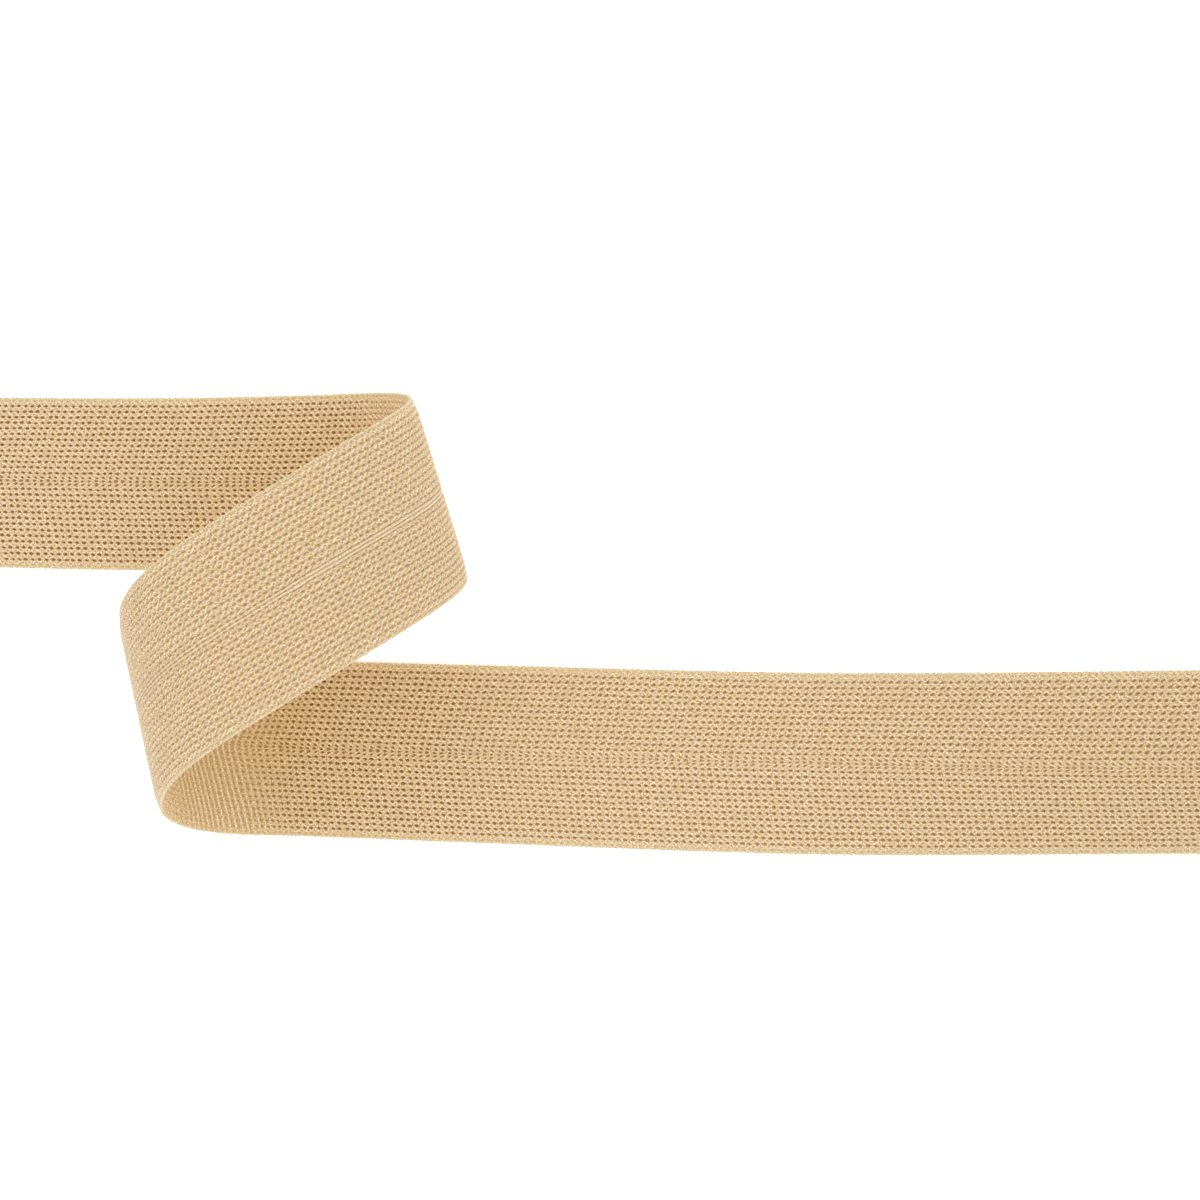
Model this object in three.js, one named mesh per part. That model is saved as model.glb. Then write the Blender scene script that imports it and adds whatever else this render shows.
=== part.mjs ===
// A cut length of knitted foldover binding, lying on a table with one open curl in it.
// Millimetres, +Z up. The two flat runs lie along X. The origin is the middle of the footprint,
// at the height of the table.

import * as THREE from 'three';

// The knitted tape, opened out flat
const WIDTH = 25;
const THICKNESS = 1.2;
const CREASE_WIDTH = 1.2;
const CREASE_DEPTH = 0.35;
const RIDGE_HEIGHT = 0.2;

// How far the tape runs either way from the place where it first lifts off the table
const BEFORE_CURL = 57;
const AFTER_CURL = 268;

// The curl. Its axis lies on the table, this many degrees off the line straight across the tape.
const LEAN = 15.8;
// The girth is the length once round the curl's side view. The headings, in degrees, are the way
// that the side view points at equal steps along it: up, back over the top, and down again.
const GIRTH = 124.7;
const HEADINGS = [ 0, 32, 76, 131, 159, 182, 226, 262, 299, 360 ];

// Each turn of the curl is skewed a little along the axis, by this share of the distance from
// the middle of the tape, fading out over the reach.
const RISE_SKEW = - 0.039;
const FALL_SKEW = 0.057;
const SKEW_REACH = 22;

// How the tape wanders: a row for each place along it, with its shift to the side, the share by
// which it is wider than its nominal width, and the shift of the crease within it.
const WANDER = [
	{ at: - 64, sway: 0.67, wider: - 0.012, crease: 0.3 },
	{ at: - 19, sway: 0.34, wider: - 0.001, crease: 0.3 },
	{ at: 26, sway: 1.2, wider: 0.001, crease: - 0.3 },
	{ at: 71, sway: 0.39, wider: - 0.004, crease: - 0.1 },
	{ at: 116, sway: - 0.3, wider: 0.001, crease: 0.1 },
	{ at: 161, sway: - 0.89, wider: 0.012, crease: 0 },
	{ at: 206, sway: - 1.22, wider: 0.013, crease: 0.1 },
	{ at: 251, sway: - 0.12, wider: 0.003, crease: - 0.8 },
	{ at: 296, sway: 1.27, wider: 0.003, crease: - 0.8 },
];

// How finely the solid is cut
const CURL_STEP = 2.4;
const RUN_STEP = 5;
const ACROSS_STEPS = 5;
const EDGE_SEGMENTS = 4;
const PROFILE_STEPS = 720;

const HALF_WIDTH = WIDTH / 2;
const HALF_THICKNESS = THICKNESS / 2;

function smoothCurve( positions, values, endings ) {

	const curve = new THREE.CubicInterpolant( positions, values, 1 );
	curve.settings = { endingStart: endings, endingEnd: endings };
	return ( at ) => curve.evaluate( at )[ 0 ];

}

function wanderCurve( column ) {

	const positions = WANDER.map( ( row ) => row.at );
	const values = WANDER.map( ( row ) => row[ column ] );
	return smoothCurve( positions, values, THREE.ZeroCurvatureEnding );

}

const swayAt = wanderCurve( 'sway' );
const widerAt = wanderCurve( 'wider' );
const creaseAt = wanderCurve( 'crease' );

// The curl's side view, as points at equal steps: how far forward, how high and which way
function sideView() {

	const positions = HEADINGS.map( ( _, i ) => i * GIRTH / ( HEADINGS.length - 1 ) );
	const headings = HEADINGS.map( ( degrees ) => THREE.MathUtils.degToRad( degrees ) );
	const headingAt = smoothCurve( positions, headings, THREE.ZeroSlopeEnding );
	const step = GIRTH / PROFILE_STEPS;
	const points = [ { forward: 0, up: 0, heading: 0 } ];

	for ( let i = 1; i <= PROFILE_STEPS; i ++ ) {

		const last = points[ i - 1 ];
		const middle = headingAt( ( i - 0.5 ) * step );
		points.push( {
			forward: last.forward + step * Math.cos( middle ),
			up: last.up + step * Math.sin( middle ),
			heading: headingAt( i * step ),
		} );

	}

	// The small miss in height where the curl comes down is made up on the way there.
	const miss = points[ PROFILE_STEPS ].up;
	points.forEach( ( point, i ) => {

		point.up -= miss * THREE.MathUtils.smoothstep( i, 0, PROFILE_STEPS );

	} );
	return points;

}

const SIDE_VIEW = sideView();

// The place in the side view after a given distance round the curl, flat before and after it
function roundCurl( distance ) {

	if ( distance <= 0 ) return { forward: distance, up: 0, heading: 0 };
	if ( distance >= GIRTH ) {

		return { forward: SIDE_VIEW[ PROFILE_STEPS ].forward + distance - GIRTH, up: 0, heading: 0 };

	}

	const index = distance / GIRTH * PROFILE_STEPS;
	const below = Math.floor( index );
	const share = index - below;
	const from = SIDE_VIEW[ below ];
	const to = SIDE_VIEW[ below + 1 ];
	return {
		forward: THREE.MathUtils.lerp( from.forward, to.forward, share ),
		up: THREE.MathUtils.lerp( from.up, to.up, share ),
		heading: THREE.MathUtils.lerp( from.heading, to.heading, share ),
	};

}

// The distance round the curl at which the side view points a given way
function distanceAtHeading( degrees ) {

	const heading = THREE.MathUtils.degToRad( degrees );
	const index = SIDE_VIEW.findIndex( ( point ) => point.heading >= heading );
	return index * GIRTH / PROFILE_STEPS;

}

const RISE = distanceAtHeading( 90 );
const FALL = distanceAtHeading( 270 );

function skewAt( distance ) {

	const rise = Math.exp( - ( ( ( distance - RISE ) / SKEW_REACH ) ** 2 ) );
	const fall = Math.exp( - ( ( ( distance - FALL ) / SKEW_REACH ) ** 2 ) );
	return RISE_SKEW * rise + FALL_SKEW * fall;

}

// Lays a point of the flat tape in space. It is given by how far it is along the tape, across it
// from its middle, and through it from its middle layer.
function lay( along, across, through ) {

	const lean = THREE.MathUtils.degToRad( LEAN );
	const shifted = across + creaseAt( along ) * ( 1 - Math.abs( across ) / HALF_WIDTH );
	const side = shifted * ( 1 + widerAt( along ) ) + swayAt( along );
	const down = along * Math.sin( lean ) - side * Math.cos( lean );
	const distance = along * Math.cos( lean ) + side * Math.sin( lean );
	const place = roundCurl( distance );
	const forward = place.forward + skewAt( distance ) * across - through * Math.sin( place.heading );
	const up = place.up + through * Math.cos( place.heading ) + HALF_THICKNESS;
	return new THREE.Vector3(
		forward * Math.cos( lean ) + down * Math.sin( lean ),
		forward * Math.sin( lean ) - down * Math.cos( lean ),
		up
	);

}

// The tape's section: two rounded edges, a groove along the crease on the face that is under the
// runs, and a low ridge above it on the other face
function section() {

	const flat = HALF_WIDTH - HALF_THICKNESS;
	const creaseEdge = CREASE_WIDTH / 2;
	const shape = new THREE.Shape();
	shape.moveTo( - flat, - HALF_THICKNESS );

	function faceTo( from, to, level ) {

		for ( let i = 1; i <= ACROSS_STEPS; i ++ ) {

			shape.lineTo( THREE.MathUtils.lerp( from, to, i / ACROSS_STEPS ), level );

		}

	}

	faceTo( - flat, - creaseEdge, - HALF_THICKNESS );
	shape.lineTo( 0, CREASE_DEPTH - HALF_THICKNESS );
	shape.lineTo( creaseEdge, - HALF_THICKNESS );
	faceTo( creaseEdge, flat, - HALF_THICKNESS );
	shape.absarc( flat, 0, HALF_THICKNESS, - Math.PI / 2, Math.PI / 2 );
	faceTo( flat, creaseEdge, HALF_THICKNESS );
	shape.lineTo( 0, HALF_THICKNESS + RIDGE_HEIGHT );
	shape.lineTo( - creaseEdge, HALF_THICKNESS );
	faceTo( - creaseEdge, - flat, HALF_THICKNESS );
	shape.absarc( - flat, 0, HALF_THICKNESS, Math.PI / 2, Math.PI * 3 / 2 );
	return shape;

}

// Where the solid is cut along its length: finely round the curl, coarsely on the runs
function stations() {

	const curlEnd = ( GIRTH + HALF_WIDTH ) / Math.cos( THREE.MathUtils.degToRad( LEAN ) );
	const places = [ - BEFORE_CURL ];

	while ( places[ places.length - 1 ] < AFTER_CURL ) {

		const last = places[ places.length - 1 ];
		const inCurl = last > - HALF_WIDTH && last < curlEnd;
		places.push( last + ( inCurl ? CURL_STEP : RUN_STEP ) );

	}

	places[ places.length - 1 ] = AFTER_CURL;
	return places;

}

function bindingGeometry() {

	const places = stations();
	const steps = places.length - 1;
	const geometry = new THREE.ExtrudeGeometry( section(), {
		depth: 1,
		steps,
		bevelEnabled: false,
		curveSegments: EDGE_SEGMENTS,
	} );
	const position = geometry.attributes.position;

	for ( let i = 0; i < position.count; i ++ ) {

		const along = places[ Math.round( position.getZ( i ) * steps ) ];
		const point = lay( along, position.getX( i ), position.getY( i ) );
		position.setXYZ( i, point.x, point.y, point.z );

	}

	geometry.computeVertexNormals();
	geometry.computeBoundingBox();
	const box = geometry.boundingBox;
	const middle = box.getCenter( new THREE.Vector3() );
	geometry.translate( - middle.x, - middle.y, - box.min.z );
	return geometry;

}

const knit = new THREE.MeshStandardMaterial( { color: 0xd2b48c, roughness: 0.9, metalness: 0 } );

const binding = new THREE.Mesh( bindingGeometry(), knit );
binding.name = 'binding';

const part = new THREE.Group();
part.add( binding );

export default part;
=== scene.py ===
import math
from dataclasses import dataclass

import bpy
import numpy as np
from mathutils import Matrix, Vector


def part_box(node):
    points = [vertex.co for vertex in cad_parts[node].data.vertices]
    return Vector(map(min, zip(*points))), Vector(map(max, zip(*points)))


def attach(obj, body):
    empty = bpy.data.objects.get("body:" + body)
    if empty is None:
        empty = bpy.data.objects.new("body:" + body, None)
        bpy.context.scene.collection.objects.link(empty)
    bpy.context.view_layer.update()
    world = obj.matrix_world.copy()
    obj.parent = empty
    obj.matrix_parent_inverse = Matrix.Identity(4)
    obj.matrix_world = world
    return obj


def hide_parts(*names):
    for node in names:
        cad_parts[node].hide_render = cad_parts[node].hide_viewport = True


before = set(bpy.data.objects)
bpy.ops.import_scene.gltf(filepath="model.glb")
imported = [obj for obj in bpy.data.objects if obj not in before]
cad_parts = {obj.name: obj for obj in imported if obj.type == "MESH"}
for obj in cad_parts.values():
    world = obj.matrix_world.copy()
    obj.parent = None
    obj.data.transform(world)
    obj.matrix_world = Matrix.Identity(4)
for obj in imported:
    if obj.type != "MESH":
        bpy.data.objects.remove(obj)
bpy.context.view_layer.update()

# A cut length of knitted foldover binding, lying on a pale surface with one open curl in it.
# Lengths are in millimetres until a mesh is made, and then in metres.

MM = 0.001
SEED = 11
# Far less than any step of the grid
HAIR = 1e-6

# The camera: the point on the table that it looks at, its distance, lens, lean and roll, and how
# near it still sees
CAMERA_TARGET = (2.87, 3.03, 0.0)
CAMERA_DISTANCE = 344.4
CAMERA_LENS = 73.03
CAMERA_SENSOR = 36.0
CAMERA_LEAN = 8.0
CAMERA_ROLL = 0.62
CAMERA_NEAR = 10.0

# The light comes from all round, and more of it from above
SKY_LOW = 0.85
SKY_HIGH = 1.45
FLOOR_SIZE = 6.0
FLOOR_WHITE = 0.95
FLOOR_GLOW = 0.3
FLOOR_ROUGHNESS = 0.9
FLOOR_GLOSS = 0.1
WHITE = (1, 1, 1, 1)

# The tape, opened out flat
WIDTH = 25.0
THICKNESS = 1.2
TAPE_START = -57.0
TAPE_END = 268.0
HALF_WIDTH = WIDTH / 2
HALF_THICKNESS = THICKNESS / 2

# The curl: the lean of its axis in degrees, its girth, and the way that its side view points at
# equal steps round it, in degrees. Where it rises and falls it is skewed a little along its axis.
LEAN = 15.8
GIRTH = 124.7
HEADINGS = [0, 32, 76, 131, 159, 182, 226, 262, 299, 360]
PROFILE_STEPS = 720
RISE_SKEW = -0.039
FALL_SKEW = 0.057
SKEW_REACH = 22.0

# How the tape wanders: where along it, its shift to the side, the share by which it is wider
# than its nominal width, and the shift of the crease within it
WANDER = np.array(
    [
        (-64, 0.67, -0.012, 0.3),
        (-19, 0.34, -0.001, 0.3),
        (26, 1.2, 0.001, -0.3),
        (71, 0.39, -0.004, -0.1),
        (116, -0.3, 0.001, 0.1),
        (161, -0.89, 0.012, 0),
        (206, -1.22, 0.013, 0.1),
        (251, -0.12, 0.003, -0.8),
        (296, 1.27, 0.003, -0.8),
    ],
    dtype=[("at", float), ("sway", float), ("wider", float), ("crease", float)],
)

# The stitches. Courses run across the tape and rows along it. Each stitch has its hole at a whole
# course and row. Row 0 lies on the crease, and the rows beside it are crowded.
COURSE_PITCH = 1.03
ROW_PITCH = 0.855
CREASE_PITCH = 0.5
SECOND_PITCH = 0.68
OUTER_ROW = 15
EDGE_ROW = OUTER_ROW + 0.5
# Over this many rows at each edge the stitches fade away.
SELVAGE_ROWS = 2
# How far a course runs ahead above and below the crease, as a share of the distance from it, and
# how softly it turns there, in millimetres
BOW_ABOVE = 0.24
BOW_BELOW = 0.165
BOW_ROUNDING = 0.6

# How much the stitches differ from each other: their place and the depth of their holes
STRAY_ALONG = 0.05
STRAY_ACROSS = 0.035
STRAY_DEPTH = 0.15

# Where the mesh has its points within a stitch, from the middle of its hole
COURSE_NODES = np.array([0, 0.125, 0.25, 0.5, 0.75, 0.875])
ROW_NODES = np.array([0, 0.25, 0.5, 0.75])
EDGE_NODES = np.array([0.32, 0.43])
# The lengths that the tape is drawn in
LENGTHS = 6

# The holes, dimples and bridges in the mesh, in courses along and rows across. A dimple lies
# midway between four holes, and a bridge is the loop's foot between two holes of a row.
HOLE_ALONG = 0.24
HOLE_ACROSS = 0.21
DIMPLE_ALONG = 0.17
DIMPLE_ACROSS = 0.15
BRIDGE_ALONG = 0.2
BRIDGE_ACROSS = 0.34
# How far behind the middle of its stitch each strand stands out most, in courses, and the power by
# which it ends
STRAND_SHIFT = 0.15
STRAND_ENDS = 4

# In the crowded rows at the crease the strands all point along the tape, towards the crease, and
# are this much steeper and wider.
CREASE_STEEPER = 1.5
CREASE_WIDER = 1.8
# The holes there slant towards the crease. The mesh has only this share of their depth.
CREASE_SLANT = 0.4
CREASE_DEPTH = 0.45
# How far the crease's ridge or groove reaches to both sides, in millimetres
CREASE_SPREAD = 0.36
# On the outer face the crease is pressed flat round the upper fold, and shows as thin lines of
# painted shade along the crowded rows. It opens again between these courses. The width of a line
# is in rows.
PRESSED_UNTIL = (52, 74)
LINE_WIDTH = 0.22

# Inside the upper fold, between these courses, the holes are closed up.
CLOSED_FROM = (2, 15)
CLOSED_UNTIL = (50, 62)
# Inside the lower fold they are closed up too, and further on the courses stand up there as ribs
# across the tape. The ribs lean over by this share more than the courses do elsewhere.
FOLDED_FROM = (82, 92)
RIBS_FROM = (101, 107)
RIBS_UNTIL = (114, 127)
RIB_ALONG = 0.22
RIB_HEIGHT = 0.07
RIB_LEAN = 1.0
# How far the holes are closed up inside the folds
CLOSED_SHARE = 0.8

# At the very edge this share of the strands' relief is left. The holes fade by this power.
EDGE_STRANDS = 0.4
EDGE_FADE = 0.7
# The tape is thinner towards its edges, from this far in, and rounded at the very edge.
THIN_BAND = 2.4
EDGE_THICKNESS = 0.5
EDGE_ROUNDING = 0.35
# The loops that stand out a little along both edges, one a course
EDGE_LOOP = 0.03


@dataclass
class Face:
    """One face of the knitting. Depths are in millimetres, and colours as the shader takes them."""

    name: str
    side: int
    hole_depth: float
    dimple_depth: float
    groove_depth: float
    bridge_height: float
    strand_relief: float
    crease_height: float
    # The strands: how far each leans, its width and length, and how strong the ones are that
    # rise, against the ones that fall
    strand_slope: float
    strand_width: float
    strand_length: float
    rising_above: float
    rising_below: float
    # The rows between which the crease gives way to the plain knitting, how much of the holes is
    # left there, whether lines of painted shade run there, and how many rows more it takes up where
    # it is pressed
    crease_rows: tuple
    crease_holes: float
    crease_lines: bool
    pressed_rows: float
    # How many rows of the edge have the selvage's own colour
    selvage_rows: float
    # The holes' reach along and across as the material shows them, and the colour of the painted
    # shade down in them
    hole_size: tuple
    hole_shade: tuple
    # How strong the painted shade in the grooves and the faintest dimples is, and how far the warm
    # shade shows
    groove_strength: float
    dimple_strength: float
    warmth: float


def linear(red, green, blue):
    """An sRGB colour given as 0 to 255, as the shader takes it."""
    scale = [value / 255 for value in (red, green, blue)]
    return (*[((v + 0.055) / 1.055) ** 2.4 if v > 0.04 else v / 12.92 for v in scale], 1)


# The yarn with a painted highlight, laid on the strands, and the yarn with painted shade, between
# them
YARN_LIGHT = linear(235, 220, 198)
YARN_SHADE = linear(206, 178, 139)
YARN_EDGE = linear(207, 186, 150)
# Painted shade in the dimples between the holes
DIMPLE_SHADE = linear(134, 121, 102)
# Painted shade in the grooves along the rows of holes, and between the ribs
GROOVE_SHADE = linear(182, 150, 106)
# Painted shade in the thin lines along the crease on the outer face
CREASE_SHADE = linear(162, 125, 56)
# What the colour is multiplied by where yarn within reach keeps out the light, so that it arrives
# from other yarn
WARM_SHADE = (1.19, 1.05, 0.62, 1)
SHADE_REACH = 60.0
SHADE_SAMPLES = 2
# The colour is multiplied by something between these two, from stitch to stitch.
PINK_TINT = (1.02, 0.98, 1.05, 1)
GREEN_TINT = (0.97, 1.02, 0.9, 1)
# What the colour is multiplied by at the end of the later run, and the courses over which it
# comes to that
FAR_TONE = (0.93, 0.925, 0.89, 1)
FAR_COURSES = (170, 255)
# Along the later run the holes' painted shade is paler, and those above the crease slant the other
# way.
LATER_COURSES = (140, 160)
LATER_HOLES = 0.74
LATER_SLANT = -0.6

# How the stitches differ in the material, each time from one value to another: how pale the
# strands' painted highlight is, and the holes' shift along and across, slant, size and the strength
# of their painted shade
STRAND_STRENGTH = (0.5, 1.2)
HOLE_SHIFT_ALONG = (-0.1, 0.1)
HOLE_SHIFT_ACROSS = (-0.06, 0.06)
HOLE_SLANT = (-0.15, 0.45)
HOLE_SMALLER = (-0.25, 0.25)
HOLE_STRENGTH = (0.8, 1.0)
# Added to a row, so that what differs there doesn't go by the same chance as the holes
FALLING_CHANCE = 0.3
ALONG_CHANCE = 0.4
RISING_CHANCE = 0.7
# The holes are taller at the crease, and taller still within the row on it.
CREASE_TALLER = 0.35
CENTRE_TALLER = 0.5
CENTRE_ROWS = (0.8, 0.4)
# Where a hole's or dimple's painted shade begins and is full, as squares of its reach, and a
# dimple's reach along and across, and by how much the dimples differ in strength
HOLE_RIM = (1.05, 0.25)
DIMPLE_RIM = (1.3, 0.1)
DIMPLE_SIZE = (0.19, 0.13)
DIMPLE_DIFFERENCE = 0.5
GROOVE_WIDTH = 0.2
# Inside the folds: the painted shade in the grooves that join the holes, how far the strands and
# dimples give way, and how pale the ribs' painted highlight is and how strong the painted shade
# in the grooves between them
JOINED_WIDTH = 0.26
JOINED_STRENGTH = 0.7
RIBS_HIDE_STRANDS = 0.4
FOLD_HIDES_DIMPLES = 0.7
RIB_STRENGTH = 0.8
RIB_GROOVES = 0.5

# The noises, as grains to a course and to a row
FIBRE_GRAINS = (6, 22, 1)
SPECK_GRAINS = (4.4, 4.0, 1)
TINT_GRAINS = (1.9, 1.7, 1)
TINT_START = (7, 3, 0)
STREAK_GRAINS = (1.7, 7.0)
PATCH_GRAINS = 0.35
# The part of a noise that counts, since it seldom goes far from its middle
NOISE_RANGE = (0.35, 0.65)
# How far each noise changes the tone, from a base
FIBRE_TONE = 0.14
PATCH_TONE = 0.07
SPECK_TONE = 1.9
BASE_TONE = -0.05
# How strong the strands' painted highlight, the selvage's colour and the crease lines' painted
# shade are, by the streaks in them
STREAKED_STRANDS = (0.65, 1.15)
STREAKED_EDGE = (0.4, 0.9)
STREAKED_LINES = (0.6, 1.0)
# How strong the painted highlight is at the least on the yarn between the crease's lines
PALE_BETWEEN_LINES = 0.55

# The surface of the yarn
ROUGHNESS = (0.72, 0.97)
SHEEN = 0.25
GLOSS = 0.4
BUMP_STRENGTH = 0.6
BUMP_HEIGHT = 0.08
STRAND_BUMP = 0.7
FIBRE_BUMP = 0.3
CUT_GRAINS = 5000.0
CUT_ROUGHNESS = 0.9

# The face that is up where the tape lies on the table
INNER = Face(
    name="knit_inner",
    side=1,
    hole_depth=0.26,
    dimple_depth=0.06,
    groove_depth=0.04,
    bridge_height=0.1,
    strand_relief=0.16,
    crease_height=0.12,
    strand_slope=0.8,
    strand_width=0.125,
    strand_length=0.62,
    rising_above=0.5,
    rising_below=0.75,
    crease_rows=(1.3, 1.9),
    crease_holes=0.95,
    crease_lines=False,
    pressed_rows=0.0,
    selvage_rows=1.6,
    hole_size=(0.34, 0.27),
    hole_shade=linear(127, 88, 27),
    groove_strength=0.45,
    dimple_strength=0.18,
    warmth=1.0,
)
# The face that is up where the tape passes over itself
OUTER = Face(
    name="knit_outer",
    side=-1,
    hole_depth=0.26,
    dimple_depth=0.06,
    groove_depth=0.06,
    bridge_height=0.04,
    strand_relief=0.16,
    crease_height=-0.08,
    strand_slope=0.42,
    strand_width=0.1,
    strand_length=0.5,
    rising_above=0.35,
    rising_below=0.35,
    crease_rows=(0.45, 0.8),
    crease_holes=0.8,
    crease_lines=True,
    pressed_rows=0.75,
    selvage_rows=0.9,
    hole_size=(0.39, 0.22),
    hole_shade=linear(172, 142, 84),
    groove_strength=0.3,
    dimple_strength=0.35,
    warmth=0.3,
)


def smooth_curve(positions, values, free_ends):
    """A function that goes smoothly through evenly spaced points, with level or free ends."""
    x = np.asarray(positions, float)
    y = np.asarray(values, float)
    chords = np.diff(y) / np.diff(x)
    slopes = np.zeros_like(y)
    slopes[1:-1] = (chords[:-1] + chords[1:]) / 2
    if free_ends:
        slopes[[0, -1]] = chords[[0, -1]]

    def curve(at):
        i = np.clip(np.searchsorted(x, at, side="right") - 1, 0, len(x) - 2)
        step = x[i + 1] - x[i]
        t = (at - x[i]) / step
        start = y[i] * (1 + 2 * t) * (1 - t) ** 2 + slopes[i] * step * t * (1 - t) ** 2
        end = y[i + 1] * t**2 * (3 - 2 * t) - slopes[i + 1] * step * t**2 * (1 - t)
        return start + end

    return curve


sway_at, wider_at, crease_at = (
    smooth_curve(WANDER["at"], WANDER[column], free_ends=True)
    for column in ("sway", "wider", "crease")
)


def bell(offset, width):
    """Is 1 where the offset is 0, and falls away to both sides over the width."""
    return np.exp(-((offset / width) ** 2))


def side_view():
    """The curl's side view at equal steps: how far forward, how high and which way it points."""
    heading_at = smooth_curve(
        np.linspace(0, GIRTH, len(HEADINGS)), np.radians(HEADINGS), free_ends=False
    )
    step = GIRTH / PROFILE_STEPS
    places = np.arange(PROFILE_STEPS + 1) * step
    middles = heading_at(places[:-1] + step / 2)
    forward = np.concatenate([[0], np.cumsum(np.cos(middles))]) * step
    up = np.concatenate([[0], np.cumsum(np.sin(middles))]) * step
    # The small miss in height where the curl comes down is made up on the way there.
    share = np.linspace(0, 1, PROFILE_STEPS + 1)
    up -= up[-1] * share**2 * (3 - 2 * share)
    return places, forward, up, heading_at(places)


PLACES, FORWARD, UP, HEADING = side_view()
RISE = PLACES[np.argmax(HEADING >= math.radians(90))]
FALL = PLACES[np.argmax(HEADING >= math.radians(270))]


def lay(along, across, through):
    """Lays points of the flat tape in space, as the CAD solid lies: an array of X, Y and Z."""
    lean = math.radians(LEAN)
    shifted = across + crease_at(along) * (1 - np.abs(across) / HALF_WIDTH)
    side = shifted * (1 + wider_at(along)) + sway_at(along)
    down = along * math.sin(lean) - side * math.cos(lean)
    distance = along * math.cos(lean) + side * math.sin(lean)
    on_curl = np.clip(distance, 0, GIRTH)
    heading = np.interp(on_curl, PLACES, HEADING)
    skew = RISE_SKEW * bell(distance - RISE, SKEW_REACH)
    skew += FALL_SKEW * bell(distance - FALL, SKEW_REACH)
    forward = np.interp(on_curl, PLACES, FORWARD) + distance - on_curl
    forward += skew * across - through * np.sin(heading)
    up = np.interp(on_curl, PLACES, UP) + through * np.cos(heading) + HALF_THICKNESS
    x = forward * math.cos(lean) + down * math.sin(lean)
    y = forward * math.sin(lean) - down * math.cos(lean)
    return np.stack([x, y, up], axis=-1)


def across_of_row(row):
    """How far a row lies from the crease, in millimetres. Rows count up towards +Y."""
    knots = np.array([0, 1, 2, EDGE_ROW])
    steady = CREASE_PITCH + SECOND_PITCH
    spots = np.array([0, CREASE_PITCH, steady, steady + ROW_PITCH * (EDGE_ROW - 2)])
    spots *= HALF_WIDTH / spots[-1]
    return np.sign(row) * np.interp(np.abs(row), knots, spots)


def bow_at(across):
    """How far a course runs ahead at a distance from the crease."""
    reach = np.sqrt(across**2 + BOW_ROUNDING**2) - BOW_ROUNDING
    return reach * np.where(across > 0, BOW_ABOVE, BOW_BELOW)


def smooth_step(value, start, end):
    """Goes smoothly from 0 where the value is start to 1 where it is end."""
    share = np.clip((value - start) / (end - start), 0, 1)
    return share**2 * (3 - 2 * share)


def between(courses, start, end):
    """Rises from 0 to 1 over the courses of start, and goes back to 0 over those of end."""
    return smooth_step(courses, *start) * (1 - smooth_step(courses, *end))


def from_edge(rows):
    """Rises from 0 at the tape's edges to 1 over the rows of the selvage."""
    return np.clip((EDGE_ROW - np.abs(rows)) / SELVAGE_ROWS, 0, 1)


def bump(along, across, length, width):
    """A round bump, 1 in its middle, with its reach along and across the tape."""
    return np.exp(-((along / length) ** 2) - (across / width) ** 2)


def strands(face, along, across, slope, width):
    """Slanted strands, each with its middle midway between two holes, 1 on their ridges."""
    ridges = []
    for neighbour in (-1, 0, 1):
        beside = along - neighbour
        line = ((across + slope * beside) / width) ** 2
        reach = ((beside + STRAND_SHIFT) / face.strand_length) ** STRAND_ENDS
        ridges.append(np.exp(-line - reach))
    return np.max(ridges, axis=0)


def relief(face, courses, rows, from_crease, hole_share):
    """How far the face stands from the middle of the tape, in millimetres."""
    course, row = courses[:, None], rows[None, :]
    # How far each point is from the nearest hole, and from the middle between four holes
    along, across = course - np.round(course), row - np.round(row)
    middle_along, middle_across = 0.5 - np.abs(along), 0.5 - np.abs(across)
    at_crease = 1 - smooth_step(np.abs(row), *face.crease_rows)
    selvage = from_edge(row)

    slope = face.strand_slope * (1 + (CREASE_STEEPER - 1) * at_crease)
    width = face.strand_width * (1 + (CREASE_WIDER - 1) * at_crease)
    falls = np.where(row > 0, 1, 1 - at_crease)
    rises = np.where(row > 0, face.rising_above * (1 - at_crease), face.rising_below)
    from_middle = row - np.floor(row) - 0.5
    falling = strands(face, along, from_middle, slope, width) * falls
    strand = np.maximum(falling, strands(face, along, from_middle, -slope, width) * rises)

    hole = bump(along, across, HOLE_ALONG, HOLE_ACROSS) * (1 - at_crease * (1 - CREASE_DEPTH))
    bridge = bump(middle_along, across, BRIDGE_ALONG, BRIDGE_ACROSS) * (1 - at_crease)
    dimple = bump(middle_along, middle_across, DIMPLE_ALONG, DIMPLE_ACROSS)
    groove = 0.5 + 0.5 * np.cos(2 * np.pi * across)
    rib = np.zeros_like(course)
    if face is INNER:
        closed = between(course, CLOSED_FROM, CLOSED_UNTIL)
        folded = between(course, FOLDED_FROM, RIBS_UNTIL)
        hole = hole * (1 - (closed + folded) * CLOSED_SHARE)
        rib = bell(middle_along, RIB_ALONG) * between(course, RIBS_FROM, RIBS_UNTIL)

    depth = face.hole_depth * hole * hole_share * selvage**EDGE_FADE
    depth = depth + face.dimple_depth * dimple + face.groove_depth * groove * selvage
    strand_share = EDGE_STRANDS + (1 - EDGE_STRANDS) * selvage
    depth = depth + face.strand_relief * (1 - strand) * strand_share
    depth = depth - face.bridge_height * bridge * selvage - RIB_HEIGHT * rib
    ridge = face.crease_height * bell(from_crease, CREASE_SPREAD)
    inwards = HALF_WIDTH - np.abs(from_crease)
    thin = EDGE_THICKNESS + (1 - EDGE_THICKNESS) * smooth_step(inwards, 0, THIN_BAND)
    edge = np.clip(inwards / EDGE_ROUNDING, 0, 1)
    return (HALF_THICKNESS * thin - depth + ridge) * np.sqrt(1 - (1 - edge) ** 2)


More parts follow.
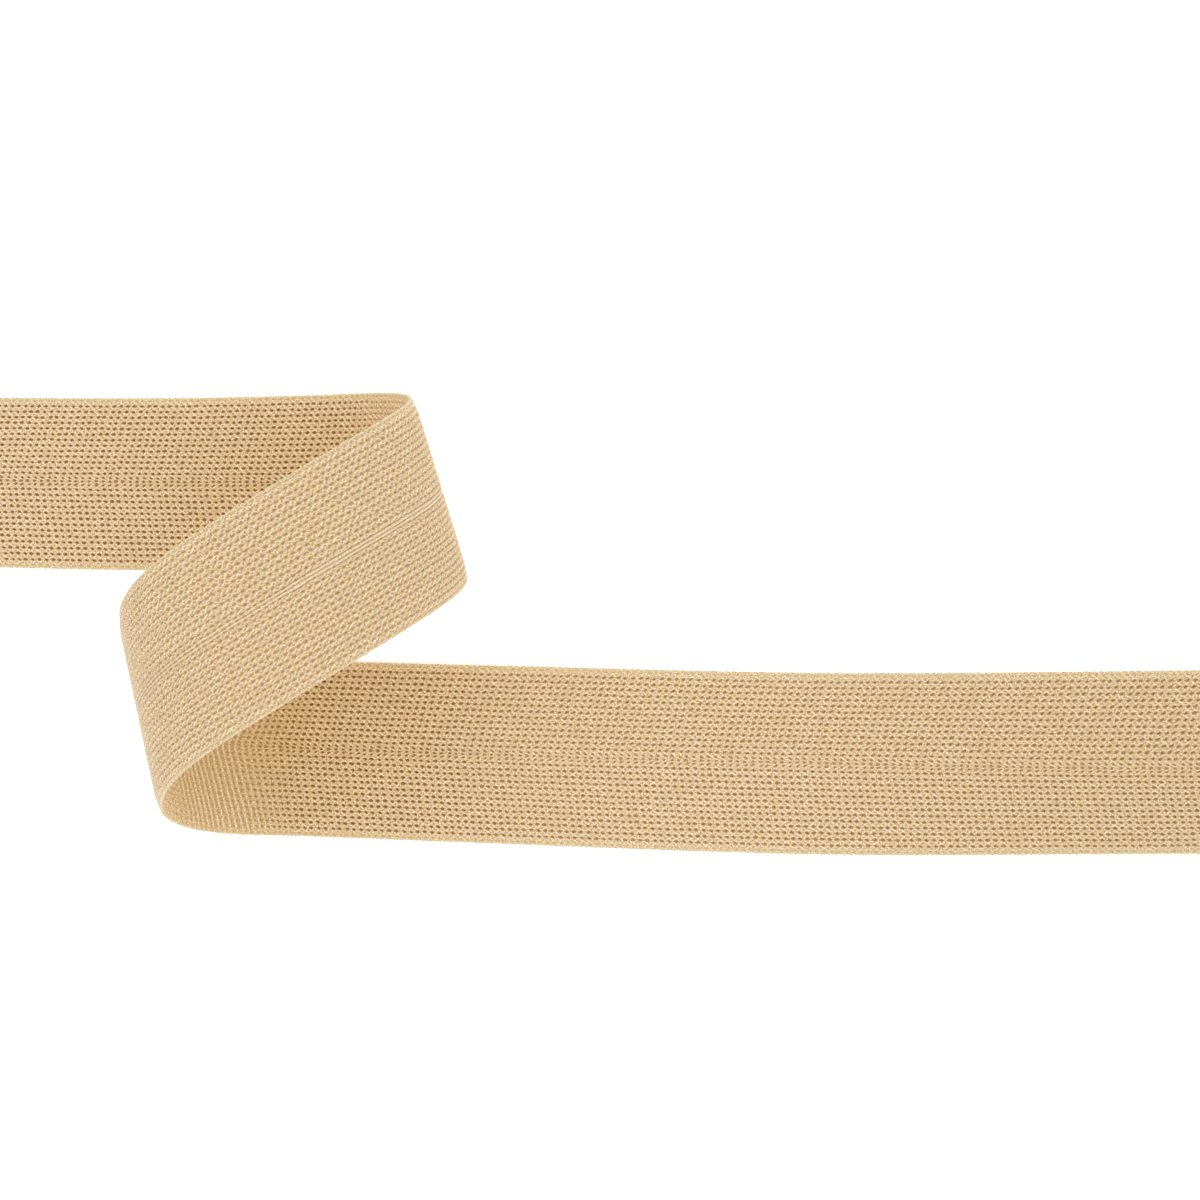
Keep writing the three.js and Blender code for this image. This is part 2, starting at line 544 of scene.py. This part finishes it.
def between_stitches(field, first_course, courses, rows):
    """A value that each stitch has, blended to the places between the stitches."""
    # No place is quite at the last stitch, so that each has a stitch beyond it.
    last_course, last_row = (count - 1.001 for count in field.shape)
    i = np.clip(courses[:, None] - first_course, 0, last_course)
    j = np.clip(rows[None, :] + OUTER_ROW, 0, last_row)
    below_i, below_j = np.floor(i).astype(int), np.floor(j).astype(int)
    share_i, share_j = i - below_i, j - below_j
    near = field[below_i, below_j] * (1 - share_j) + field[below_i, below_j + 1] * share_j
    far = field[below_i + 1, below_j] * (1 - share_j)
    far = far + field[below_i + 1, below_j + 1] * share_j
    return near * (1 - share_i) + far * share_i


class Knitting:
    """The grid of points that both faces of the tape share, and where it lies in space."""

    def __init__(self):
        ahead = bow_at(np.array([HALF_WIDTH, -HALF_WIDTH])).max()
        first = math.floor((TAPE_START - ahead) / COURSE_PITCH) - 1
        last = math.ceil(TAPE_END / COURSE_PITCH) + 1
        self.courses = (np.arange(first, last)[:, None] + COURSE_NODES).ravel()
        rows = (np.arange(-OUTER_ROW - 1, OUTER_ROW + 1)[:, None] + ROW_NODES).ravel()
        edge = OUTER_ROW + EDGE_NODES
        rows = np.concatenate([rows, edge, -edge, [EDGE_ROW]])
        self.rows = np.unique(rows[np.abs(rows) <= EDGE_ROW])
        self.steps, self.columns = len(self.courses), len(self.rows)
        self.place_points(first, last)
        whole = np.arange(self.steps - 1)
        triangles = [self.face_triangles(face, whole) for face in (INNER, OUTER)]
        self.normals = surface_normals(self.points, np.concatenate(triangles))

    def place_points(self, first, last):
        """Lays each course and row of the grid in space, on the inner face and on the outer."""
        rng = np.random.default_rng(SEED)
        size = (last - first + 1, 2 * OUTER_ROW + 1)
        stray_along, stray_across, hole_share = (
            between_stitches(rng.normal(mean, stray, size), first, self.courses, self.rows)
            for mean, stray in ((0, STRAY_ALONG), (0, STRAY_ACROSS), (1, STRAY_DEPTH))
        )
        across = across_of_row(self.rows)[None, :]
        across = across + stray_across * from_edge(self.rows)[None, :]
        loops = EDGE_LOOP * np.cos(2 * np.pi * (self.courses[:, None] - 0.5))
        across = across + loops * np.sign(across) * (np.abs(self.rows) > OUTER_ROW)[None, :]
        ribs = between(self.courses, RIBS_FROM, RIBS_UNTIL)[:, None]
        bow = bow_at(across) * (1 + RIB_LEAN * ribs)
        along = self.courses[:, None] * COURSE_PITCH + bow + stray_along
        # Each column of points is cut off straight at the two ends of the tape.
        self.first_kept = np.sum(along <= TAPE_START, axis=0) - 1
        self.last_kept = self.steps - np.sum(along >= TAPE_END, axis=0)
        self.along = np.clip(along, TAPE_START, TAPE_END)
        self.points = np.concatenate(
            [
                self.lay_grid(
                    across, face.side * relief(face, self.courses, self.rows, across, hole_share)
                )
                for face in (INNER, OUTER)
            ]
        )
        flat = np.full_like(self.along, HALF_THICKNESS)
        bare = np.concatenate([self.lay_grid(across, flat), self.lay_grid(across, -flat)])
        low, high = (np.array(corner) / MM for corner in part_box("binding"))
        shift = (low + high) / 2 - (bare.min(0) + bare.max(0)) / 2
        self.points += (shift[0], shift[1], 0)

    def lay_grid(self, across, through):
        """The whole grid in space, as one list of points."""
        return lay(self.along, across, through).reshape(-1, 3)

    def corner(self, face, i, j):
        """The number of a point. The two faces share their points along both edges."""
        number = np.clip(i, self.first_kept[j], self.last_kept[j]) * self.columns + j
        if face is OUTER:
            on_edge = (j == 0) | (j == self.columns - 1)
            number = number + np.where(on_edge, 0, self.steps * self.columns)
        return number

    def face_triangles(self, face, kept):
        """The triangles of one face for some of its steps along the tape, cut along the strands."""
        i, j = np.meshgrid(kept, np.arange(self.columns - 1), indexing="ij")
        i, j = i.ravel(), j.ravel()
        a, b = self.corner(face, i, j), self.corner(face, i + 1, j)
        c, d = self.corner(face, i + 1, j + 1), self.corner(face, i, j + 1)
        course_half = np.floor(self.courses[i] * 2 + HAIR).astype(int) % 2
        row_half = np.floor(self.rows[j] * 2 + HAIR).astype(int) % 2
        if face is OUTER:
            cut_bd = np.ones_like(course_half, bool)[:, None]
        else:
            cut_bd = (course_half == row_half)[:, None]
        first = np.where(cut_bd, np.stack([a, b, d], 1), np.stack([a, b, c], 1))
        second = np.where(cut_bd, np.stack([b, c, d], 1), np.stack([a, c, d], 1))
        triangles = np.concatenate([first, second])
        return triangles if face is INNER else triangles[:, ::-1]

    def cap_triangles(self, step, far_end):
        """The triangles that close a length of the tape at one of its ends."""
        j = np.arange(self.columns - 1)
        i = np.full_like(j, step)
        a, b = self.corner(INNER, i, j), self.corner(INNER, i, j + 1)
        c, d = self.corner(OUTER, i, j + 1), self.corner(OUTER, i, j)
        cap = np.concatenate([np.stack([a, b, c], 1), np.stack([a, c, d], 1)])
        return cap[:, ::-1] if far_end else cap

    def cuts(self):
        """The steps at which the tape is divided, each midway between two courses."""
        midways = np.flatnonzero(np.abs(self.courses % 1 - 0.5) < HAIR)
        wanted = [self.steps * k / LENGTHS for k in range(1, LENGTHS)]
        inner = [midways[np.argmin(np.abs(midways - place))] for place in wanted]
        return [0, *inner, self.steps - 1]


def surface_normals(points, triangles):
    """The normal at each point, from the triangles round it."""
    a, b, c = (points[triangles[:, k]] for k in range(3))
    flat = np.cross(b - a, c - a)
    normals = np.zeros_like(points)
    for axis in range(3):
        for k in range(3):
            normals[:, axis] += np.bincount(triangles[:, k], flat[:, axis], len(points))
    lengths = np.linalg.norm(normals, axis=1, keepdims=True)
    return normals / np.where(lengths > 0, lengths, 1)


# The place of the cut ends' material, after those of the two faces
CUT_SLOT = 2


def make_mesh(name, points, triangles, slot_of, normals, maps):
    """A mesh of triangles. normals and maps hold a value for each corner of each triangle."""
    used, corners = np.unique(triangles, return_inverse=True)
    mesh = bpy.data.meshes.new(name)
    mesh.vertices.add(len(used))
    mesh.vertices.foreach_set("co", (points[used] * MM).astype(np.float32).ravel())
    mesh.loops.add(triangles.size)
    mesh.loops.foreach_set("vertex_index", corners.ravel().astype(np.int32))
    mesh.polygons.add(len(triangles))
    mesh.polygons.foreach_set("loop_start", np.arange(0, triangles.size, 3, dtype=np.int32))
    mesh.polygons.foreach_set("material_index", slot_of.astype(np.int32))
    mesh.polygons.foreach_set("use_smooth", slot_of < CUT_SLOT)
    for map_name, values in maps.items():
        layer = mesh.uv_layers.new(name=map_name)
        layer.data.foreach_set("uv", values.astype(np.float32).ravel())
    mesh.update(calc_edges=True)
    mesh.normals_split_custom_set(normals.reshape(-1, 3))
    piece = bpy.data.objects.new(name, mesh)
    bpy.context.scene.collection.objects.link(piece)
    return piece


class Value:
    """A number that a material works out at each place, written in formulas like any other."""

    def __init__(self, nodes, socket):
        self.nodes = nodes
        self.socket = socket

    def __add__(self, other):
        return self.nodes.math("ADD", self, other)

    def __sub__(self, other):
        return self.nodes.math("SUBTRACT", self, other)

    def __rsub__(self, other):
        return self.nodes.math("SUBTRACT", other, self)

    def __mul__(self, other):
        return self.nodes.math("MULTIPLY", self, other)

    def __truediv__(self, other):
        return self.nodes.math("DIVIDE", self, other)

    def __pow__(self, other):
        return self.nodes.math("POWER", self, other)

    def __abs__(self):
        return self.nodes.math("ABSOLUTE", self)

    __radd__ = __add__
    __rmul__ = __mul__


class Nodes:
    """The nodes of a material or a world, which lead to its one shader."""

    def __init__(self, owner, shader="Principled BSDF"):
        owner.use_nodes = True
        self.owner = owner
        self.tree = owner.node_tree
        self.shader = self.tree.nodes[shader]

    def connect(self, value, socket):
        """Links a Value to an input, or sets the input to a plain number, colour or vector."""
        if isinstance(value, Value):
            self.tree.links.new(value.socket, socket)
        else:
            socket.default_value = value

    def add(self, kind, inputs=(), output=0, **settings):
        """Makes a node from its inputs and settings, and gives back one of its outputs."""
        node = self.tree.nodes.new(kind)
        for setting, value in settings.items():
            setattr(node, setting, value)
        for key, value in dict(inputs).items():
            self.connect(value, node.inputs[key])
        return Value(self, node.outputs[output])

    def parts(self, vector):
        """The X, Y and Z of a vector."""
        separate = self.add("ShaderNodeSeparateXYZ", {0: vector}).socket.node
        return [Value(self, output) for output in separate.outputs]

    def math(self, operation, *values):
        return self.add("ShaderNodeMath", enumerate(values), operation=operation)

    def ramp(self, value, start, end):
        """Goes smoothly from 0 where the value is start to 1 where it is end."""
        inputs = {"Value": value, "From Min": start, "From Max": end}
        return self.add("ShaderNodeMapRange", inputs, interpolation_type="SMOOTHSTEP")

    def between(self, value, start, end):
        """Rises from 0 to 1 over the range of start, and goes back to 0 over that of end."""
        return self.ramp(value, *start) * (1.0 - self.ramp(value, *end))

    def bell(self, offset, width):
        """Is 1 where the offset is 0, and falls away to both sides over the width."""
        return self.math("EXPONENT", (offset / width) ** 2 * -1.0)

    def mix(self, share, first, second, blend="MIX"):
        """Mixes two colours. They are the node's inputs 6 and 7, and its output 2."""
        inputs = {0: share, 6: first, 7: second}
        return self.add("ShaderNodeMix", inputs, output=2, data_type="RGBA", blend_type=blend)

    def noise(self, place, scale, detail):
        inputs = {"Vector": place, "Scale": scale, "Detail": detail}
        return self.add("ShaderNodeTexNoise", inputs)

    def chance(self, course, row):
        """A number from 0 to 1 that is different for each stitch."""
        place = self.add("ShaderNodeCombineXYZ", {0: course, 1: row})
        return self.add("ShaderNodeTexWhiteNoise", {0: place}, noise_dimensions="2D")

    def grey(self, value):
        return self.add("ShaderNodeCombineColor", {0: value, 1: value, 2: value})

    def set(self, **values):
        """Gives the shader its values. Their names have underscores in place of spaces."""
        for key, value in values.items():
            self.connect(value, self.shader.inputs[key.replace("_", " ")])


def spread(share, low, high):
    """Turns a share from 0 to 1 into a value from low to high."""
    return share * (high - low) + low


class KnitNodes(Nodes):
    """The nodes of one face's knitting, which know the course and row of each place."""

    def __init__(self, face):
        super().__init__(bpy.data.materials.new(face.name))
        self.face = face
        self.stitch = self.add("ShaderNodeUVMap", uv_map="Stitch")
        self.course, self.row, _ = self.parts(self.stitch)
        # The nearest hole, and how far away it is
        self.hole_course = self.math("ROUND", self.course)
        self.hole_row = self.math("ROUND", self.row)
        self.along = self.course - self.hole_course
        self.across = self.row - self.hole_row
        self.above = self.math("GREATER_THAN", self.row, 0.0)
        self.from_crease = abs(self.row)
        self.pressed = 1.0 - self.ramp(self.course, *PRESSED_UNTIL)
        near, far = (self.pressed * face.pressed_rows + edge for edge in face.crease_rows)
        self.away = self.ramp(self.from_crease, near, far)
        self.at_crease = 1.0 - self.away
        self.selvage = self.ramp(self.from_crease, EDGE_ROW, EDGE_ROW - face.selvage_rows)
        self.fibre = self.grain(FIBRE_GRAINS, 3.0)
        self.streak = self.streaks()

    def grain(self, grains, detail, start=(0, 0, 0)):
        """Noise over the cloth, with so many grains to a course and to a row."""
        inputs = {0: self.stitch, "Scale": grains, "Location": start}
        return self.noise(self.add("ShaderNodeMapping", inputs), 1.0, detail)

    def streaks(self):
        """Fine streaks along the strands."""
        lengthwise, crosswise = STREAK_GRAINS
        straightened = (self.row + self.course * self.face.strand_slope) * crosswise
        place = self.add("ShaderNodeCombineXYZ", {0: self.course * lengthwise, 1: straightened})
        return self.ramp(self.noise(place, 1.0, 2.0), *NOISE_RANGE)

    def slanted_strands(self, slope, width, kind):
        """The strands of one slant, as the function for the mesh gives them, some with a paler
        painted highlight.
        """
        middle_row = self.math("FLOOR", self.row)
        across = self.row - middle_row - 0.5
        ridges = []
        for neighbour in (0.0, self.math("SIGN", self.along)):
            beside = self.along - neighbour
            line = ((across + beside * slope) / width) ** 2
            reach = ((beside + STRAND_SHIFT) / self.face.strand_length) ** STRAND_ENDS
            ridge = self.math("EXPONENT", (line + reach) * -1.0)
            chance = self.chance(self.hole_course + neighbour, middle_row + kind)
            ridges.append(ridge * spread(chance, *STRAND_STRENGTH))
        return self.math("MAXIMUM", *ridges)

    def strands(self):
        """The strands between the holes. At the crease they all point towards it."""
        face = self.face
        slope = (self.at_crease * (CREASE_STEEPER - 1) + 1.0) * face.strand_slope
        width = (self.at_crease * (CREASE_WIDER - 1) + 1.0) * face.strand_width
        below = 1.0 - self.above
        falls = self.above + below * self.away
        rises = self.above * self.away * face.rising_above + below * face.rising_below
        falling = self.slanted_strands(slope, width, FALLING_CHANCE) * falls
        rising = self.slanted_strands(slope * -1.0, width, RISING_CHANCE) * rises
        return self.math("MAXIMUM", falling, rising)

    def holes(self):
        """The painted shade in the holes, each a little different."""
        face = self.face
        chance = self.chance(self.hole_course, self.hole_row)
        along_chance = self.chance(self.hole_course, self.hole_row + ALONG_CHANCE)
        later = self.ramp(self.course, *LATER_COURSES)
        slant = (spread(chance, *HOLE_SLANT) + later * self.above * LATER_SLANT) * self.away
        slant = slant + (self.above * 2.0 - 1.0) * self.at_crease * CREASE_SLANT
        centre = self.ramp(self.from_crease, *CENTRE_ROWS)
        taller = self.at_crease * CREASE_TALLER + centre * CENTRE_TALLER + 1.0
        along = self.along + spread(along_chance, *HOLE_SHIFT_ALONG)
        across = (self.across + self.along * slant + spread(chance, *HOLE_SHIFT_ACROSS)) / taller
        spot = (along / face.hole_size[0]) ** 2 + (across / face.hole_size[1]) ** 2
        spot = spot + spread(chance, *HOLE_SMALLER)
        hole = self.ramp(spot, *HOLE_RIM) * spread(chance, *HOLE_STRENGTH) * self.selvage
        hole = hole * (1.0 - later * (1.0 - LATER_HOLES))
        left_at_crease = face.crease_holes
        if face.crease_lines:
            left_at_crease = (1.0 - self.pressed) * face.crease_holes
        return hole * (1.0 - self.at_crease * (1.0 - left_at_crease))

    def dimples(self):
        """The dimples between four holes, which show as painted shade."""
        middle_along, middle_across = 0.5 - abs(self.along), 0.5 - abs(self.across)
        spot = (middle_along / DIMPLE_SIZE[0]) ** 2 + (middle_across / DIMPLE_SIZE[1]) ** 2
        chance = self.chance(self.hole_course, self.hole_row)
        strength = chance * DIMPLE_DIFFERENCE + self.face.dimple_strength
        return self.ramp(spot, *DIMPLE_RIM) * strength * self.away * self.selvage

    def grooves(self):
        """The painted shade in the grooves along the rows of holes."""
        groove = self.bell(self.across, GROOVE_WIDTH) * self.face.groove_strength
        return groove * self.selvage * self.away

    def inside_folds(self, strand, hole, dimple, groove):
        """The same four inside the folds, where holes close up, grooves of painted shade come out
        and ribs get a painted highlight.
        """
        closed = self.between(self.course, CLOSED_FROM, CLOSED_UNTIL)
        folded = self.between(self.course, FOLDED_FROM, RIBS_UNTIL)
        ribs = self.between(self.course, RIBS_FROM, RIBS_UNTIL)
        # The ribs get a painted highlight, and the grooves that join the closed holes painted shade
        rib = self.bell(0.5 - abs(self.along), RIB_ALONG) * ribs
        joined = self.bell(self.across, JOINED_WIDTH) * closed * JOINED_STRENGTH
        strand = self.math("MAXIMUM", strand * (1.0 - ribs * RIBS_HIDE_STRANDS), rib * RIB_STRENGTH)
        hole = hole * (1.0 - (closed + folded) * CLOSED_SHARE)
        dimple = dimple * (1.0 - folded * FOLD_HIDES_DIMPLES)
        groove = self.math("MAXIMUM", groove, ribs * RIB_GROOVES) * (1.0 - rib)
        return strand, hole, dimple, self.math("MAXIMUM", groove, joined)

    def tone(self):
        """Fine fibres and specks along the yarn, and slow changes of tone over the cloth."""
        speck = self.grain(SPECK_GRAINS, 1.0) * SPECK_TONE
        patch = self.noise(self.stitch, PATCH_GRAINS, 2.0) * PATCH_TONE
        return self.grey(self.fibre * FIBRE_TONE + patch + speck + BASE_TONE)

    def tint(self):
        """Slightly different hues from stitch to stitch."""
        share = self.ramp(self.grain(TINT_GRAINS, 1.0, TINT_START), *NOISE_RANGE)
        return self.mix(share, PINK_TINT, GREEN_TINT)

    def colour(self, strand, hole, dimple, groove):
        """The colour of the yarn, with a painted highlight on the strands and painted shade in the
        holes, dimples and grooves at each place, and painted warm shade where little light arrives.
        """
        face = self.face
        # Painted highlight on the strands, and painted shade between them, in the grooves and in
        # the dimples
        colour = self.mix(strand, YARN_SHADE, YARN_LIGHT)
        colour = self.mix(groove, colour, GROOVE_SHADE)
        colour = self.mix(dimple, colour, DIMPLE_SHADE)
        edge = (1.0 - self.selvage) * spread(self.streak, *STREAKED_EDGE)
        colour = self.mix(edge, colour, YARN_EDGE)
        # Painted shade in the crease's lines
        if face.crease_lines:
            line = self.bell(self.across, LINE_WIDTH) * self.at_crease
            colour = self.mix(line * spread(self.streak, *STREAKED_LINES), colour, CREASE_SHADE)
        colour = self.mix(1.0, colour, self.tone(), "MULTIPLY")
        # Painted shade down in the holes
        colour = self.mix(hole, colour, face.hole_shade)
        colour = self.mix(1.0, colour, self.tint(), "MULTIPLY")
        reach = {"Distance": SHADE_REACH * MM}
        light = self.add("ShaderNodeAmbientOcclusion", reach, output=1, samples=SHADE_SAMPLES)
        colour = self.mix((1.0 - light) * face.warmth, colour, WARM_SHADE, "MULTIPLY")
        return self.mix(self.ramp(self.course, *FAR_COURSES), colour, FAR_TONE, "MULTIPLY")


def knit_material(face):
    """The yarn, with painted shade darker and browner down in the holes, with strands and fine
    fibres.
    """
    n = KnitNodes(face)
    strand, hole, dimple, groove = n.strands(), n.holes(), n.dimples(), n.grooves()
    if face is INNER:
        strand, hole, dimple, groove = n.inside_folds(strand, hole, dimple, groove)
    strand = strand * spread(n.streak, *STREAKED_STRANDS)
    if face.crease_lines:
        # Painted highlight on the yarn between the crease's lines
        strand = n.math("MAXIMUM", strand, n.at_crease * PALE_BETWEEN_LINES)
    height = strand * STRAND_BUMP + n.fibre * FIBRE_BUMP
    inputs = {"Strength": BUMP_STRENGTH, "Distance": BUMP_HEIGHT * MM, "Height": height}
    n.set(Base_Color=n.colour(strand, hole, dimple, groove), Normal=n.add("ShaderNodeBump", inputs))
    n.set(Roughness=spread(n.fibre, *ROUGHNESS), Sheen_Weight=SHEEN, Specular_IOR_Level=GLOSS)
    return n.owner


def cut_material():
    """The cut ends of the yarns at the two ends of the tape."""
    n = Nodes(bpy.data.materials.new("knit_cut_end"))
    place = n.add("ShaderNodeTexCoord", output="Object")
    n.set(Base_Color=n.mix(n.noise(place, CUT_GRAINS, 3.0), GROOVE_SHADE, YARN_LIGHT))
    n.set(Roughness=CUT_ROUGHNESS)
    return n.owner


# Where each part of a length lies in the map for baking: the lowest place and the height of the
# two faces and of the two closed ends
BAKE_LOW = np.array([0.0, 0.52, 0.488, 0.504])
BAKE_HEIGHT = np.array([0.48, 0.48, 0.008, 0.008])


def knitted_length(knitting, number, start, end, materials):
    """One closed length of the tape, between two steps of its grid."""
    kept = np.arange(start, end)
    parts = [
        knitting.face_triangles(INNER, kept),
        knitting.face_triangles(OUTER, kept),
        knitting.cap_triangles(start, far_end=False),
        knitting.cap_triangles(end, far_end=True),
    ]
    part_of = np.repeat(np.arange(len(parts)), [len(part) for part in parts])
    triangles = np.concatenate(parts)
    # Beyond the tape's cut ends the grid's points fall together, and so do triangles.
    real = np.all(triangles != np.roll(triangles, 1, axis=1), axis=1)
    triangles, part_of = triangles[real], part_of[real]

    grid = knitting.steps * knitting.columns
    step_of, column_of = np.divmod(triangles % grid, knitting.columns)
    stitch_map = np.stack([knitting.courses[step_of], knitting.rows[column_of]], axis=-1)
    lengthwise = (step_of - start) / (end - start)
    crosswise = column_of / (knitting.columns - 1)
    is_cap = (part_of >= CUT_SLOT)[:, None]
    bake_u = np.where(is_cap, crosswise, lengthwise)
    bake_v = np.where(is_cap, triangles >= grid, crosswise)
    bake_v = BAKE_LOW[part_of][:, None] + bake_v * BAKE_HEIGHT[part_of][:, None]
    bake_map = np.stack([bake_u, bake_v], axis=-1)

    # Where two lengths meet, their shading goes on as if they were one.
    meeting = [step for step in (start, end) if 0 < step < knitting.steps - 1]
    shared = np.isin(step_of, meeting) & ~is_cap
    normals = np.where(shared[..., None], knitting.normals[triangles], 0.0)

    piece = make_mesh(
        f"binding_length_{number}",
        knitting.points,
        triangles,
        np.minimum(part_of, CUT_SLOT),
        normals,
        {"Stitch": stitch_map, "OFBake": bake_map},
    )
    for material in materials:
        piece.data.materials.append(material)
    return piece


def add_binding():
    """The whole tape. It is drawn in lengths that meet along a course."""
    knitting = Knitting()
    materials = [knit_material(INNER), knit_material(OUTER), cut_material()]
    cuts = knitting.cuts()
    ends = [knitting.along[cut].mean() for cut in cuts]
    for k in range(LENGTHS):
        piece = knitted_length(knitting, k + 1, cuts[k], cuts[k + 1], materials)
        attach(piece, "root")
        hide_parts("binding")
        (ends[k + 1] - ends[k]) * MM


def add_camera():
    """The camera, almost straight above and a little towards +X of the point it looks at."""
    data = bpy.data.cameras.new("camera")
    data.lens = CAMERA_LENS
    data.sensor_width = CAMERA_SENSOR
    data.clip_start = CAMERA_NEAR * MM
    camera = bpy.data.objects.new("camera", data)
    lean, roll = math.radians(CAMERA_LEAN), math.radians(CAMERA_ROLL)
    side = math.sin(lean)
    back = np.array([side * math.cos(roll), side * math.sin(roll), math.cos(lean)])
    camera.location = (np.array(CAMERA_TARGET) + back * CAMERA_DISTANCE) * MM
    camera.rotation_euler = (0, lean, roll)
    bpy.context.scene.collection.objects.link(camera)
    bpy.context.scene.camera = camera


def add_floor():
    """A plain pale floor, which glows a little so that it shows as white as the photograph's."""
    bpy.ops.mesh.primitive_plane_add(size=FLOOR_SIZE)
    floor = bpy.context.object
    floor.name = "floor"
    n = Nodes(bpy.data.materials.new("pale_floor"))
    n.set(Base_Color=(FLOOR_WHITE, FLOOR_WHITE, FLOOR_WHITE, 1), Roughness=FLOOR_ROUGHNESS)
    n.set(Specular_IOR_Level=FLOOR_GLOSS, Emission_Color=WHITE, Emission_Strength=FLOOR_GLOW)
    floor.data.materials.append(n.owner)


def add_light():
    """Soft light from the whole sky, brighter overhead."""
    scene = bpy.context.scene
    scene.view_settings.view_transform = "Standard"
    scene.world = bpy.data.worlds.new("studio")
    n = Nodes(scene.world, "Background")
    _, _, height = n.parts(n.add("ShaderNodeTexCoord", output="Generated"))
    inputs = {"Value": height, "To Min": SKY_LOW, "To Max": SKY_HIGH}
    n.set(Color=WHITE, Strength=n.add("ShaderNodeMapRange", inputs))


add_camera()
add_floor()
add_light()
add_binding()
